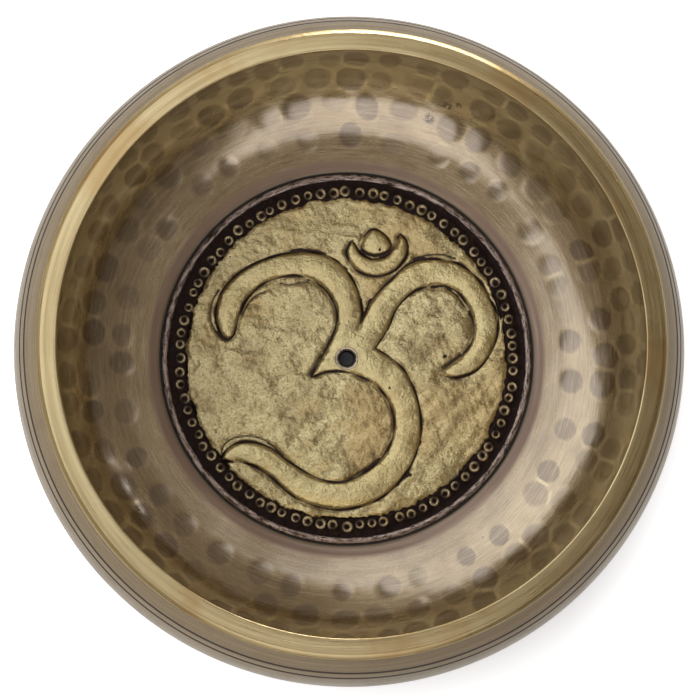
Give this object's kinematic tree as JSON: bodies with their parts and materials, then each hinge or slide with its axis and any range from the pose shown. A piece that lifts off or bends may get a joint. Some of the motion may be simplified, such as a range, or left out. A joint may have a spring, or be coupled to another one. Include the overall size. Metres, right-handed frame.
{
  "type": "singing bowl",
  "caption": "Hand-finished bronze singing bowl with a hammered inside and a cast ornamental medallion riveted into its floor.",
  "frame": {"origin": "on the bowl's axis, in the plane of the foot ring that it stands on", "axes": "+Z up along the axis of the bowl and its centre bore; the medallion's sign reads upright with +Y up and +X to its right"},
  "size_m": [0.16, 0.16, 0.072],
  "materials": {
    "hammered_bronze": "turned and brushed rim and shoulder, hammered patinated inside",
    "cast_bronze": "matt as cast, with dark patina in its outlines",
    "black_pitch": "dull black bedding pitch",
    "black_inlay": "uneven black inlay, slightly glossy",
    "rivet_metal": "worn head, dark bore"
  },
  "bodies": {
    "root": {"bowl_shell": "hammered_bronze", "medallion": "cast_bronze", "medallion_bedding": "black_pitch", "channel_inlay": "black_inlay", "hollow_rivet": "rivet_metal"}
  },
  "joints": []
}
